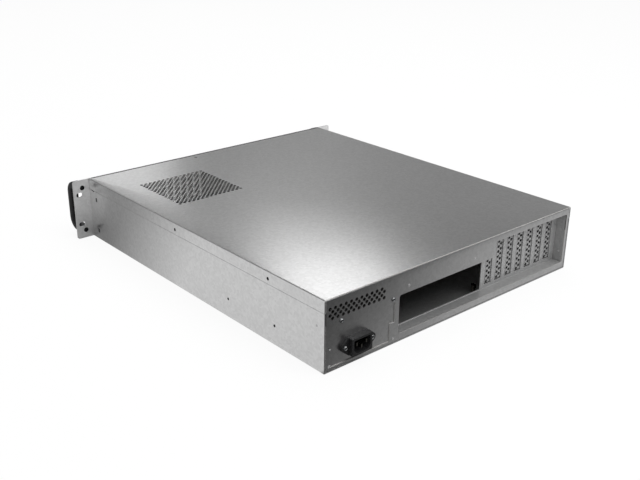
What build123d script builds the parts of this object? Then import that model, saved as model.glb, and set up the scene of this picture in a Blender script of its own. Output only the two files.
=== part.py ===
from build123d import *
import math
import os

# Empty rackmount server case, two rack units high, folded from galvanised steel sheet.
# Frame: +Z up, +Y towards the rear panel, +X towards the side that has the power inlet.
# The origin is on the underside, at the middle of the overall width and length.

os.makedirs("parts", exist_ok=True)

# Driving dimensions of the case, in millimetres
case_width = 433.2
case_depth = 512.8
case_height = 88.0
base_sheet = 1.2
lid_sheet = 1.0
bend_radius = 0.6
sheet_gap = 0.2
hole_gap = 0.2

# Front panel and rack ears
panel_width = 482.6
panel_height = 87.2
panel_thickness = 2.0
panel_corner = 3.0
rack_hole_width = 465.1
rack_hole_height = 44.45
rack_slot_length = 10.0
rack_slot_height = 6.8

# Bow handles
handle_inset = 13.8
handle_spacing = 64.0
handle_bar_width = 11.0
handle_bar_depth = 10.0
handle_reach = 34.5
handle_bend = 13.0
handle_screw_radius = 2.0
handle_screw_head = 3.5
handle_screw_grip = 8.0

# Lid, with its vent over the power supply
lid_flange = 14.5
lid_front_gap = 0.5
lid_screw_radius = 1.9
lid_screw_from_top = 9.2
lid_screws_from_rear = (95.5, 285.6)
lid_vent_size = 101.0
lid_vent_rows = 6
lid_vent_web = 2.4
lid_vent_from_side = 92.1
lid_vent_from_front = 124.4
lid_pin_hole_from_side = 173.3
lid_pin_hole_from_front = 13.9

# Side walls
joggle_rise = 1.3
joggle_gap = 0.3
rest_flange = 8.0
front_lip = 12.0
rail_holes_from_rear = (84.6, 173.5)
rail_hole_z = 24.4
rail_hole_radius = 1.8
tab_slit_from_front = 18.8
tab_slit_heights = (13.4, 59.9)
tab_slit_length = 5.5
tab_slit_width = 1.4
pry_notch_from_front = 10.3
pry_notch_length = 8.0
pry_notch_height = 2.6

# Rear panel: its flanges, and the L-shaped window over the board opening and card slots
rear_flange = 12.0
window_from_card_side = 6.8
window_bottom = 10.0
window_low = 58.7
window_from_top = 9.0
window_beside_slots = 9.2
window_beside_io = 2.4
window_corner = 3.0

# Rear panel's vent, counted from the inlet side
vent_from_side = 7.9
vent_from_top = 12.9
vent_pitch = 7.57
vent_row = 3.8
vent_columns = 11
vent_rows = 4
vent_hole_side = 3.7

# Stepped opening for the power inlet, and the plate behind it
plate_opening_margin = 6.6
plate_opening_low = 5.2
plate_opening_high = 52.3
plate_notch_width = 7.3
plate_notch_z = 27.7
plate_lap = 3.0
plate_screw_rise = 4.5
plate_top_margin = 4.7
plate_outer_screw = 17.9

# Power inlet
inlet_from_opening = 41.6
inlet_z = 23.0
inlet_flange_length = 50.0
inlet_flange_height = 21.4
inlet_flange_thickness = 4.0
inlet_flat_length = 30.0
inlet_tip_radius = 3.6
inlet_collar_width = 30.0
inlet_collar_height = 21.2
inlet_collar_reach = 5.5
inlet_mouth_width = 24.4
inlet_mouth_height = 16.0
inlet_mouth_depth = 17.5
inlet_mouth_cut = 4.2
inlet_body_width = 27.4
inlet_body_height = 20.0
inlet_body_depth = 18.0
inlet_screw_spacing = 40.0
inlet_pin_width = 2.0
inlet_pin_height = 4.0
inlet_pin_spacing = 14.0
inlet_earth_drop = 4.0
inlet_pin_recess = 1.2
inlet_tab_length = 8.0

# Recessed board opening and card slots, counted from the window's card-side edge
recess_depth = 15.0
recess_below_top = 8.8
io_from_first_slot = 173.4
io_width = 158.75
io_height = 44.45
io_lift = 0.8
seam_past_step = 24.0
seam_width = 0.8
slot_count = 7
slot_pitch = 20.32
last_slot_inset = 16.68
slot_width = 12.8
slot_lift = 5.0
slot_below_shelf = 2.2

# Slot covers
cover_width = 18.4
cover_sheet = 0.8
cover_overlap = 2.5
cover_hole_side = 3.1
cover_hole_row = 3.5
cover_hole_column = 4.0
cover_hole_rows = 17
cover_hole_first = 3.0
cover_access_margin = 2.0

# Board standoffs, on the hole grid of a full-size board
board_first_column = 5.75
board_columns = (0.0, 157.48, 281.94)
board_rows = (0.0, 154.94, 227.33)
board_rear_gap = 1.0
board_hole_inset = 10.16
board_underside = 12.2
standoff_flats = 5.5
standoff_bore = 1.25
standoff_bore_depth = 6.0

# Cross wall beside the power supply's bay, with openings for two fans, which an empty case
# goes without
supply_bay_width = 169.0
fan_wall_from_front = 176.0
fan_wall_top_gap = 1.5
fan_pitch = 126.0
fan_centre_z = 42.8
fan_opening_radius = 38.2
fan_hole_spacing = 71.5
fan_hole_radius = 2.3

# Drive cages, one in front of each fan
cage_inner_width = 102.0
cage_inner_height = 62.0
cage_length = 140.0
cage_from_front = 14.0
cage_sheet = 1.0
cage_foot = 10.0
drive_levels = 2
drive_step = 29.0
drive_first_slot_z = 9.4
drive_slots_from_front = (28.5, 130.0)
drive_slot_length = 7.0
drive_slot_height = 3.6

# Power supply bracket
supply_from_front = 194.0
supply_opening_width = 124.0
supply_opening_height = 68.0
supply_opening_corner = 6.0
supply_hole_width = 138.0
supply_hole_height = 64.0
supply_hole_radius = 1.9
supply_bracket_gap = 2.0
supply_foot = 14.0

# Front rail under the lid
rail_depth = 14.0
rail_drop = 14.0

# Front controls, counted from the middle of their housing
control_from_side = 51.6
control_z = 43.6
control_width = 72.0
control_height = 30.0
control_depth = 14.0
board_thickness = 1.6
power_size = (14.0, 8.0)
power_offset = (-26.0, 0.0)
reset_size = (4.0, 4.0)
reset_offset = (-11.0, -7.0)
button_proud = 1.0
button_collar = 1.2
button_collar_length = 1.6
button_travel = 1.2
button_clearance = 0.15
switch_size = 6.0
switch_height = 3.5
lens_width = 3.0
lens_height = 2.0
lens_proud = 0.6
lens_offsets = ((-11.0, 1.0), (-11.0, 8.0))
usb_offsets = ((6.0, 0.0), (24.0, 0.0))
usb_width = 13.2
usb_height = 5.8
usb_wall = 0.5
usb_length = 15.0
usb_tongue = 1.8

# Cooling slots of the front panel, counted from its card side
front_slot_width = 4.0
front_slot_height = 52.0
front_slot_pitch = 12.0
front_slot_count = 25
front_slot_from_side = 16.6

# Small screws, one size all over the case
screw_radius = 1.45
screw_length = 6.0
screw_head_radius = 2.9
screw_head_height = 1.9
screw_head_taper = 15.0
small_round_sides = 6

# Places that follow from the driving dimensions
inlet_proud = inlet_flange_thickness + inlet_collar_reach - base_sheet
overall_depth = handle_reach + panel_thickness + case_depth + inlet_proud
rear_y = overall_depth / 2 - inlet_proud
front_y = rear_y - case_depth
half_width = case_width / 2
lid_under = case_height - lid_sheet
lid_edge_z = case_height - lid_flange
lid_screw_z = case_height - lid_screw_from_top
joggle_top_z = lid_edge_z - sheet_gap
joggle_low_z = joggle_top_z - joggle_rise
upper_outer = half_width - lid_sheet - joggle_gap
upper_half = upper_outer - base_sheet
flange_cut = rail_depth + sheet_gap
panel_centre_z = panel_height / 2
panel_back = front_y
panel_front = front_y - panel_thickness
rear_inner = rear_y - base_sheet
recess_y = rear_y - recess_depth
recess_inner = recess_y - base_sheet
recess_top = case_height - recess_below_top
shelf_top = recess_top + base_sheet
window_card_x = window_from_card_side - half_width
last_slot_x = window_card_x + last_slot_inset
slot_centres = [last_slot_x + slot_pitch * index for index in range(slot_count)]
io_left = slot_centres[-1] + io_from_first_slot
window_left = io_left + window_beside_io
window_step_x = slot_centres[-1] + window_beside_slots
slot_bottom = window_bottom + slot_lift
slot_top = recess_top - slot_below_shelf
plate_opening_left = half_width - plate_opening_margin
plate_opening_right = window_left + plate_opening_margin
plate_screw_z = plate_opening_high + plate_screw_rise
plate_screws_x = (plate_opening_left - plate_outer_screw, plate_opening_right + plate_lap)
inlet_x = plate_opening_left - inlet_from_opening
handle_x = panel_width / 2 - handle_inset
handle_screw_depth = handle_screw_head - handle_screw_radius
lid_vent_x = half_width - lid_vent_from_side
wall_top = lid_under - fan_wall_top_gap
fan_wall_y = front_y + fan_wall_from_front
fan_wall_length = 2 * upper_half - supply_bay_width
fan_middle_x = fan_wall_length / 2 - upper_half
fan_centres_x = (fan_middle_x - fan_pitch / 2, fan_middle_x + fan_pitch / 2)
supply_y = front_y + supply_from_front
cage_y = front_y + cage_from_front
control_x = half_width - control_from_side
control_back = front_y + control_depth
cover_screw_y = rear_y - recess_depth / 2 - base_sheet


def facing_rear(y):
    """Sketch plane that looks at the case from the front: X to the right, Z up, at depth y."""
    return Plane.XZ.offset(-y)


def folded_strip(points, thickness, side):
    """Edge-on outline of a folded sheet: the line through the points, thickened to one side."""
    with BuildLine() as strip:
        FilletPolyline(*points, radius=bend_radius)
        offset(amount=thickness, side=side)
    make_face(strip.edges())


def small_round(radius, mode=Mode.ADD):
    """Outline of a small screw or its hole, where a few sides are as good as a circle."""
    RegularPolygon(radius, small_round_sides, mode=mode)


def beside_controls(offsets):
    """Places on the front panel at the given offsets from the middle of the controls."""
    return Locations(*[(control_x + x, control_z + z) for x, z in offsets])


# Base tray: floor and side walls of one sheet. The walls step inwards near the top, so that
# the lid's flanges lie flush with them, and turn in once more to make a rest for the lid.
with BuildPart() as base_tray:
    with BuildSketch(facing_rear(rear_y)):
        folded_strip(
            [
                (rest_flange - upper_outer, lid_under),
                (-upper_outer, lid_under),
                (-upper_outer, joggle_top_z),
                (-half_width, joggle_low_z),
                (-half_width, 0),
                (half_width, 0),
                (half_width, joggle_low_z),
                (upper_outer, joggle_top_z),
                (upper_outer, lid_under),
                (upper_outer - rest_flange, lid_under),
            ],
            base_sheet,
            Side.LEFT,
        )
    extrude(amount=case_depth)
    # the rests stop short of the front rail and of the rear panel's flange
    with BuildSketch(Plane.XY.offset(lid_under - base_sheet - bend_radius)):
        for end_y in (front_y, rear_y):
            with Locations((0, end_y)):
                Rectangle(2 * upper_half, 2 * flange_cut)
    extrude(amount=case_height, mode=Mode.SUBTRACT)
    # front lip that the front panel is fixed to
    with BuildSketch(Plane.YZ.offset(-upper_half)):
        folded_strip(
            [(front_y + front_lip, 0), (front_y, 0), (front_y, front_lip)],
            base_sheet,
            Side.RIGHT,
        )
    extrude(amount=2 * upper_half)
    # holes through both side walls: lid screws, slide rail screws and panel tab slits
    with BuildSketch(Plane.YZ.offset(-half_width)):
        with Locations(*[(rear_y - y, lid_screw_z) for y in lid_screws_from_rear]):
            small_round(screw_radius)
        with Locations(*[(rear_y - y, rail_hole_z) for y in rail_holes_from_rear]):
            Circle(rail_hole_radius)
        with Locations(*[(front_y + tab_slit_from_front, z) for z in tab_slit_heights]):
            Rectangle(tab_slit_width, tab_slit_length)
        with Locations((front_y + pry_notch_from_front, joggle_low_z)):
            Rectangle(pry_notch_length, pry_notch_height)
    extrude(amount=case_width, mode=Mode.SUBTRACT)
base_tray.part.label = "base_tray"
export_step(base_tray.part, "parts/base_tray.step")


# Rear panel: one sheet with flanges turned forwards on all four sides. An L-shaped window
# shows the recessed board opening and card slots, a stepped one the plate of the inlet.
with BuildPart() as rear_panel:
    with BuildSketch(Plane.YZ.offset(-upper_half)):
        folded_strip(
            [
                (rear_y - rear_flange, base_sheet),
                (rear_y, base_sheet),
                (rear_y, lid_under),
                (rear_y - rear_flange, lid_under),
            ],
            base_sheet,
            Side.LEFT,
        )
    extrude(amount=2 * upper_half)
    with BuildSketch(Plane.XY.offset(base_sheet)):
        folded_strip(
            [
                (upper_half - rear_flange, rear_y),
                (upper_half, rear_y),
                (upper_half, rear_y - rear_flange),
            ],
            base_sheet,
            Side.RIGHT,
        )
        mirror(about=Plane.YZ)
    extrude(amount=lid_under - base_sheet)
    with BuildSketch(facing_rear(rear_y)) as window:
        with BuildLine():
            Polyline(
                (window_left, window_bottom),
                (window_left, window_low),
                (window_step_x, window_low),
                (window_step_x, case_height - window_from_top),
                (window_card_x, case_height - window_from_top),
                (window_card_x, window_bottom),
                close=True,
            )
        make_face()
        fillet(window.vertices(), radius=window_corner)
    extrude(amount=base_sheet, mode=Mode.SUBTRACT)
    with BuildSketch(facing_rear(rear_y)):
        with BuildLine():
            Polyline(
                (plate_opening_left, plate_opening_low),
                (plate_opening_right + plate_notch_width, plate_opening_low),
                (plate_opening_right + plate_notch_width, plate_notch_z),
                (plate_opening_right, plate_notch_z),
                (plate_opening_right, plate_opening_high),
                (plate_opening_left, plate_opening_high),
                close=True,
            )
        make_face()
    extrude(amount=base_sheet, mode=Mode.SUBTRACT)
    with BuildSketch(facing_rear(rear_y)):
        for row in range(vent_rows):
            row_left = half_width - vent_from_side - vent_pitch / 2 * (row % 2)
            row_z = case_height - vent_from_top - vent_row * row
            with Locations(*[(row_left - vent_pitch * column, row_z) for column in range(vent_columns)]):
                Rectangle(vent_hole_side, vent_hole_side, rotation=45)
        with Locations(*[(x, plate_screw_z) for x in plate_screws_x]):
            small_round(screw_radius + hole_gap)
    extrude(amount=base_sheet, mode=Mode.SUBTRACT)
    # the top flange is cut away over the slot covers, to reach their screws
    with BuildSketch(Plane.XY.offset(shelf_top)):
        with Locations((window_card_x, rear_inner - bend_radius)):
            access_length = window_step_x - window_card_x + cover_access_margin
            Rectangle(access_length, rear_flange, align=(Align.MIN, Align.MAX))
    extrude(amount=case_height, mode=Mode.SUBTRACT)
rear_panel.part.label = "rear_panel"
export_step(rear_panel.part, "parts/rear_panel.step")


# Inlet plate: a flat plate screwed behind the rear panel's stepped opening.
with BuildPart() as inlet_plate:
    with BuildSketch(facing_rear(rear_inner)):
        plate_left = plate_opening_left + plate_lap / 2
        plate_right = plate_opening_right - plate_lap
        plate_low = plate_opening_low - plate_lap / 2
        plate_high = plate_screw_z + plate_top_margin
        with Locations((plate_left, plate_low)):
            Rectangle(plate_left - plate_right, plate_high - plate_low, align=(Align.MAX, Align.MIN))
        with Locations((inlet_x, inlet_z)):
            Rectangle(inlet_body_width, inlet_body_height, mode=Mode.SUBTRACT)
            with GridLocations(inlet_screw_spacing, 0, 2, 1):
                small_round(screw_radius, mode=Mode.SUBTRACT)
        with Locations(*[(x, plate_screw_z) for x in plate_screws_x]):
            small_round(screw_radius, mode=Mode.SUBTRACT)
    extrude(amount=base_sheet)
inlet_plate.part.label = "inlet_plate"
export_step(inlet_plate.part, "parts/inlet_plate.step")


# Slot bracket: a folded channel with closed ends, set back from the rear panel. Its face has
# the board opening and the card slots, and its upper shelf holds the tabs of the slot covers.
bracket_left = io_left + window_corner
with BuildPart() as slot_bracket:
    with BuildSketch(Plane.YZ.offset(window_card_x)):
        folded_strip(
            [
                (rear_inner, window_bottom),
                (recess_y, window_bottom),
                (recess_y, recess_top),
                (rear_inner, recess_top),
            ],
            base_sheet,
            Side.LEFT,
        )
    extrude(amount=bracket_left - window_card_x)
    with BuildSketch(Plane.XY.offset(window_bottom - base_sheet)):
        for end_x, outwards in ((window_card_x, Align.MAX), (bracket_left, Align.MIN)):
            with Locations((end_x, rear_inner)):
                Rectangle(base_sheet, recess_depth, align=(outwards, Align.MAX))
    extrude(amount=shelf_top - window_bottom + base_sheet)
    with BuildSketch(facing_rear(recess_y)):
        with Locations((io_left, window_bottom + io_lift)):
            Rectangle(io_width, io_height, align=(Align.MAX, Align.MIN))
        with Locations(*[(x, (slot_bottom + slot_top) / 2) for x in slot_centres]):
            Rectangle(slot_width, slot_top - slot_bottom)
    extrude(amount=base_sheet, mode=Mode.SUBTRACT)
    # the ledge stops short of the rear panel along the board opening, which leaves a seam
    with BuildSketch(Plane.XY.offset(window_bottom)):
        seam_end_x = window_step_x + seam_past_step
        with Locations((seam_end_x, rear_inner)):
            Rectangle(window_left - seam_end_x, seam_width, align=(Align.MIN, Align.MAX))
    extrude(amount=-base_sheet, mode=Mode.SUBTRACT)
    with BuildSketch(Plane.XY.offset(shelf_top)):
        with Locations(*[(x, cover_screw_y) for x in slot_centres]):
            small_round(screw_radius)
    extrude(amount=-base_sheet, mode=Mode.SUBTRACT)
slot_bracket.part.label = "slot_bracket"
export_step(slot_bracket.part, "parts/slot_bracket.step")


# Slot covers: perforated strips behind the slots, each with a tab that lies on the shelf.
# They are numbered from the board opening towards the case's card side.
for number, cover_x in enumerate(reversed(slot_centres), 1):
    with BuildPart() as slot_cover:
        with BuildSketch(Plane.YZ.offset(cover_x - cover_width / 2)):
            folded_strip(
                [
                    (recess_inner, slot_bottom - cover_overlap),
                    (recess_inner, shelf_top),
                    (rear_inner - base_sheet, shelf_top),
                ],
                cover_sheet,
                Side.LEFT,
            )
        extrude(amount=cover_width)
        with BuildSketch(facing_rear(recess_inner)):
            for row in range(cover_hole_rows):
                hole_x = cover_x + cover_hole_column / 2 * (1 - 2 * (row % 2))
                hole_z = slot_bottom + cover_hole_first + cover_hole_row * row
                with Locations((hole_x, hole_z)):
                    Rectangle(cover_hole_side, cover_hole_side, rotation=45)
        extrude(amount=cover_sheet, mode=Mode.SUBTRACT)
        with BuildSketch(Plane.XY.offset(shelf_top)):
            with Locations((cover_x, cover_screw_y)):
                small_round(screw_radius + hole_gap)
        extrude(amount=cover_sheet, mode=Mode.SUBTRACT)
    slot_cover.part.label = f"slot_cover_{number}"
    export_step(slot_cover.part, f"parts/slot_cover_{number}.step")


# Power inlet: a moulded three-pole appliance inlet with a flange that has two screw ears.
flange_y = rear_inner + inlet_flange_thickness
mouth_y = flange_y + inlet_collar_reach
floor_y = mouth_y - inlet_mouth_depth
pin_places = [
    (inlet_x - inlet_pin_spacing / 2, inlet_z + inlet_earth_drop / 2),
    (inlet_x + inlet_pin_spacing / 2, inlet_z + inlet_earth_drop / 2),
    (inlet_x, inlet_z - inlet_earth_drop / 2),
]
with BuildPart() as power_inlet:
    with BuildSketch(facing_rear(flange_y)):
        with Locations((inlet_x, inlet_z)):
            Rectangle(inlet_flat_length, inlet_flange_height)
        tip_x = inlet_flange_length / 2 - inlet_tip_radius
        for side in (-1, 1):
            with BuildLine():
                Polyline(
                    (inlet_x, inlet_z - inlet_flange_height / 2),
                    (inlet_x + side * inlet_flat_length / 2, inlet_z - inlet_flange_height / 2),
                    (inlet_x + side * tip_x, inlet_z - inlet_tip_radius),
                    (inlet_x + side * tip_x, inlet_z + inlet_tip_radius),
                    (inlet_x + side * inlet_flat_length / 2, inlet_z + inlet_flange_height / 2),
                    (inlet_x, inlet_z + inlet_flange_height / 2),
                    close=True,
                )
            make_face()
        with Locations((inlet_x, inlet_z)):
            with GridLocations(2 * tip_x, 0, 2, 1):
                Circle(inlet_tip_radius)
            with GridLocations(inlet_screw_spacing, 0, 2, 1):
                small_round(screw_radius + hole_gap, mode=Mode.SUBTRACT)
    extrude(amount=inlet_flange_thickness)
    with BuildSketch(facing_rear(mouth_y)) as collar:
        with Locations((inlet_x, inlet_z)):
            Rectangle(inlet_collar_width, inlet_collar_height)
        chamfer(collar.vertices(), length=bend_radius)
    extrude(amount=inlet_collar_reach)
    with BuildSketch(facing_rear(rear_inner)):
        with Locations((inlet_x, inlet_z)):
            Rectangle(inlet_body_width, inlet_body_height)
    extrude(amount=inlet_body_depth)
    with BuildSketch(facing_rear(mouth_y)) as mouth:
        with Locations((inlet_x, inlet_z)):
            Rectangle(inlet_mouth_width, inlet_mouth_height)
        chamfer(mouth.vertices().group_by(Axis.Y)[0], length=inlet_mouth_cut)
    extrude(amount=inlet_mouth_depth, mode=Mode.SUBTRACT)
    with BuildSketch(facing_rear(floor_y)):
        with Locations(*pin_places):
            Rectangle(inlet_pin_width, inlet_pin_height)
    extrude(amount=inlet_body_depth, mode=Mode.SUBTRACT)
power_inlet.part.label = "power_inlet"
export_step(power_inlet.part, "parts/power_inlet.step")

with BuildPart() as inlet_pins:
    with BuildSketch(facing_rear(mouth_y - inlet_pin_recess)):
        with Locations(*pin_places):
            Rectangle(inlet_pin_width, inlet_pin_height)
    extrude(amount=mouth_y - inlet_pin_recess - rear_inner + inlet_body_depth + inlet_tab_length)
inlet_pins.part.label = "inlet_pins"
export_step(inlet_pins.part, "parts/inlet_pins.step")


# Front panel: a flat plate whose ends are the rack ears, with cooling slots and the cut-outs
# of the controls. The handle screws are countersunk in its back face.
with BuildPart() as front_panel:
    with BuildSketch(facing_rear(panel_back)):
        with Locations((0, panel_centre_z)):
            RectangleRounded(panel_width, panel_height, panel_corner)
            with GridLocations(rack_hole_width, rack_hole_height, 2, 2):
                SlotOverall(rack_slot_length, rack_slot_height, mode=Mode.SUBTRACT)
            with GridLocations(2 * handle_x, handle_spacing, 2, 2):
                small_round(handle_screw_radius + hole_gap, mode=Mode.SUBTRACT)
        slots_middle = front_slot_from_side - half_width + front_slot_pitch * (front_slot_count - 1) / 2
        with Locations((slots_middle, panel_centre_z)):
            with GridLocations(front_slot_pitch, 0, front_slot_count, 1):
                Rectangle(front_slot_width, front_slot_height, mode=Mode.SUBTRACT)
        for (width, height), place in ((power_size, power_offset), (reset_size, reset_offset)):
            with beside_controls([place]):
                play = 2 * button_clearance
                Rectangle(width + play, height + play, mode=Mode.SUBTRACT)
        with beside_controls(lens_offsets):
            Rectangle(lens_width, lens_height, mode=Mode.SUBTRACT)
        with beside_controls(usb_offsets):
            Rectangle(usb_width, usb_height, mode=Mode.SUBTRACT)
    extrude(amount=panel_thickness)
    with BuildSketch(facing_rear(panel_back)):
        with Locations((0, panel_centre_z)):
            with GridLocations(2 * handle_x, handle_spacing, 2, 2):
                small_round(handle_screw_head + hole_gap)
    extrude(amount=handle_screw_depth, taper=45, mode=Mode.SUBTRACT)
front_panel.part.label = "front_panel"
export_step(front_panel.part, "parts/front_panel.step")


# Bow handles: a flat bar bent into a bow, with a tapped hole in each foot.
for side, handle_name in ((1, "handle_inlet_side"), (-1, "handle_card_side")):
    foot_low = panel_centre_z - handle_spacing / 2
    foot_high = panel_centre_z + handle_spacing / 2
    bar_y = panel_front - handle_reach + handle_bar_depth / 2
    with BuildPart() as handle:
        with BuildLine(Plane.YZ.offset(side * handle_x)):
            FilletPolyline(
                (panel_front, foot_low),
                (bar_y, foot_low),
                (bar_y, foot_high),
                (panel_front, foot_high),
                radius=handle_bend,
            )
        with BuildSketch(facing_rear(panel_front)):
            with Locations((side * handle_x, foot_low)):
                Rectangle(handle_bar_width, handle_bar_depth)
        sweep()
        with BuildSketch(facing_rear(panel_front)):
            with Locations((side * handle_x, panel_centre_z)):
                with GridLocations(0, handle_spacing, 1, 2):
                    small_round(handle_screw_radius)
        extrude(amount=handle_screw_grip, mode=Mode.SUBTRACT)
    handle.part.label = handle_name
    export_step(handle.part, f"parts/{handle_name}.step")

# Countersunk screws that hold the handles, flush with the back of the ears
with BuildPart() as handle_screws:
    with BuildSketch(facing_rear(panel_back)):
        with Locations((0, panel_centre_z)):
            with GridLocations(2 * handle_x, handle_spacing, 2, 2):
                small_round(handle_screw_head)
    extrude(amount=handle_screw_depth, taper=45)
    with BuildSketch(facing_rear(panel_back)):
        with Locations((0, panel_centre_z)):
            with GridLocations(2 * handle_x, handle_spacing, 2, 2):
                small_round(handle_screw_radius)
    extrude(amount=panel_thickness + handle_screw_grip)
handle_screws.part.label = "handle_screws"
export_step(handle_screws.part, "parts/handle_screws.step")


# Front rail: an angle across the case that stiffens the front edge and carries the lid.
with BuildPart() as front_rail:
    with BuildSketch(Plane.YZ.offset(-upper_half)):
        folded_strip(
            [
                (front_y + rail_depth, lid_under),
                (front_y, lid_under),
                (front_y, lid_under - rail_drop),
            ],
            base_sheet,
            Side.LEFT,
        )
    extrude(amount=2 * upper_half)
front_rail.part.label = "front_rail"
export_step(front_rail.part, "parts/front_rail.step")


# Lid: one sheet with a flange down each side. Its vent is a square field of holes on a
# staggered grid, which lies over the power supply.
lid_front_y = front_y + lid_front_gap
lid_vent_pitch = lid_vent_size / lid_vent_rows
with BuildPart() as lid:
    with BuildSketch(facing_rear(rear_y)):
        folded_strip(
            [
                (-half_width, lid_edge_z),
                (-half_width, case_height),
                (half_width, case_height),
                (half_width, lid_edge_z),
            ],
            lid_sheet,
            Side.RIGHT,
        )
    extrude(amount=rear_y - lid_front_y)
    with BuildSketch(Plane.XY.offset(case_height)):
        with Locations((lid_vent_x, front_y + lid_vent_from_front)):
            for rows in (lid_vent_rows, lid_vent_rows - 1):
                with GridLocations(lid_vent_pitch, lid_vent_pitch, rows, rows):
                    hole_side = lid_vent_pitch / math.sqrt(2) - lid_vent_web
                    Rectangle(hole_side, hole_side, rotation=45)
        with Locations((half_width - lid_pin_hole_from_side, front_y + lid_pin_hole_from_front)):
            small_round(lid_screw_radius)
    extrude(amount=-lid_sheet, mode=Mode.SUBTRACT)
    with BuildSketch(Plane.YZ.offset(-half_width)):
        with Locations(*[(rear_y - y, lid_screw_z) for y in lid_screws_from_rear]):
            small_round(lid_screw_radius)
    extrude(amount=case_width, mode=Mode.SUBTRACT)
lid.part.label = "lid"
export_step(lid.part, "parts/lid.step")


# Board standoffs: hexagonal pillars with a tapped hole, on the floor of the tray.
board_rear_y = recess_inner - cover_sheet - board_rear_gap
standoff_places = [
    (io_left - board_first_column - column, board_rear_y - board_hole_inset - row)
    for column in board_columns
    for row in board_rows
]
with BuildPart() as standoffs:
    with BuildSketch(Plane.XY.offset(base_sheet)):
        with Locations(*standoff_places):
            RegularPolygon(standoff_flats / 2, 6, major_radius=False)
    extrude(amount=board_underside - base_sheet)
    with BuildSketch(Plane.XY.offset(board_underside)):
        with Locations(*standoff_places):
            small_round(standoff_bore)
    extrude(amount=-standoff_bore_depth, mode=Mode.SUBTRACT)
standoffs.part.label = "standoffs"
export_step(standoffs.part, "parts/standoffs.step")


# Fan wall: a channel across the card side of the case, with a round opening for each fan.
with BuildPart() as fan_wall:
    with BuildSketch(Plane.YZ.offset(-upper_half)):
        folded_strip(
            [
                (fan_wall_y - rear_flange, base_sheet),
                (fan_wall_y, base_sheet),
                (fan_wall_y, wall_top),
                (fan_wall_y - rear_flange, wall_top),
            ],
            base_sheet,
            Side.LEFT,
        )
    extrude(amount=fan_wall_length)
    with BuildSketch(facing_rear(fan_wall_y)):
        with Locations(*[(x, fan_centre_z) for x in fan_centres_x]):
            Circle(fan_opening_radius)
            with GridLocations(fan_hole_spacing, fan_hole_spacing, 2, 2):
                small_round(fan_hole_radius)
    extrude(amount=base_sheet, mode=Mode.SUBTRACT)
fan_wall.part.label = "fan_wall"
export_step(fan_wall.part, "parts/fan_wall.step")


# Drive cages: hat-shaped folded frames on the floor, open at both ends, each for two drives.
cage_top = base_sheet + cage_inner_height
drive_slots = [
    (cage_y + y, base_sheet + drive_first_slot_z + drive_step * level)
    for level in range(drive_levels)
    for y in drive_slots_from_front
]
cage_reach = cage_inner_width / 2
for cage_x, cage_name in zip(fan_centres_x, ("drive_cage_outer", "drive_cage_inner")):
    with BuildPart() as drive_cage:
        with BuildSketch(facing_rear(cage_y + cage_length)):
            folded_strip(
                [
                    (cage_x - cage_reach - cage_foot, base_sheet),
                    (cage_x - cage_reach, base_sheet),
                    (cage_x - cage_reach, cage_top),
                    (cage_x + cage_reach, cage_top),
                    (cage_x + cage_reach, base_sheet),
                    (cage_x + cage_reach + cage_foot, base_sheet),
                ],
                cage_sheet,
                Side.LEFT,
            )
        extrude(amount=cage_length)
        with BuildSketch(Plane.YZ.offset(cage_x - cage_reach - cage_sheet)):
            with Locations(*drive_slots):
                Rectangle(drive_slot_length, drive_slot_height)
        extrude(amount=cage_inner_width + 2 * cage_sheet, mode=Mode.SUBTRACT)
    drive_cage.part.label = cage_name
    export_step(drive_cage.part, f"parts/{cage_name}.step")


# Power supply bracket: a folded plate that the supply's back is screwed to.
bracket_start = fan_wall_length - upper_half + supply_bracket_gap
bracket_end = upper_half - supply_bracket_gap
with BuildPart() as supply_bracket:
    with BuildSketch(Plane.YZ.offset(bracket_start)):
        folded_strip(
            [
                (supply_y + supply_foot, base_sheet),
                (supply_y, base_sheet),
                (supply_y, wall_top),
                (supply_y + supply_foot, wall_top),
            ],
            base_sheet,
            Side.RIGHT,
        )
    extrude(amount=bracket_end - bracket_start)
    with BuildSketch(facing_rear(supply_y + base_sheet)):
        with Locations((lid_vent_x, (base_sheet + wall_top) / 2)):
            RectangleRounded(supply_opening_width, supply_opening_height, supply_opening_corner)
            with GridLocations(supply_hole_width, supply_hole_height, 2, 2):
                small_round(supply_hole_radius)
    extrude(amount=base_sheet, mode=Mode.SUBTRACT)
supply_bracket.part.label = "supply_bracket"
export_step(supply_bracket.part, "parts/supply_bracket.step")


# Front controls: a moulded housing behind the panel guides the buttons and holds the lamps
# and the two sockets, and a small circuit board with the two switches closes its back.
button_kinds = (
    ("power_button", power_size, power_offset),
    ("reset_button", reset_size, reset_offset),
)
switch_offsets = [place for name, size, place in button_kinds]
collar_seat = button_collar_length + button_travel + hole_gap
with BuildPart() as control_housing:
    with BuildSketch(facing_rear(control_back)):
        with beside_controls([(0, 0)]):
            Rectangle(control_width, control_height)
        for name, (width, height), place in button_kinds:
            with beside_controls([place]):
                play = 2 * button_clearance
                Rectangle(width / 2 + play, height / 2 + play, mode=Mode.SUBTRACT)
        with beside_controls(lens_offsets):
            Rectangle(lens_width, lens_height, mode=Mode.SUBTRACT)
        with beside_controls(usb_offsets):
            Rectangle(usb_width, usb_height, mode=Mode.SUBTRACT)
    extrude(amount=control_depth)
    with BuildSketch(facing_rear(panel_back + collar_seat)):
        for name, (width, height), place in button_kinds:
            with beside_controls([place]):
                play = 2 * (button_collar + button_clearance)
                Rectangle(width + play, height + play)
    extrude(amount=collar_seat, mode=Mode.SUBTRACT)
    # room for the switches, so that the board lies flat on the housing's back
    with BuildSketch(facing_rear(control_back)):
        with beside_controls(switch_offsets):
            Rectangle(switch_size + hole_gap, switch_size + hole_gap)
    extrude(amount=switch_height + button_travel, mode=Mode.SUBTRACT)
control_housing.part.label = "control_housing"
export_step(control_housing.part, "parts/control_housing.step")

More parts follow.
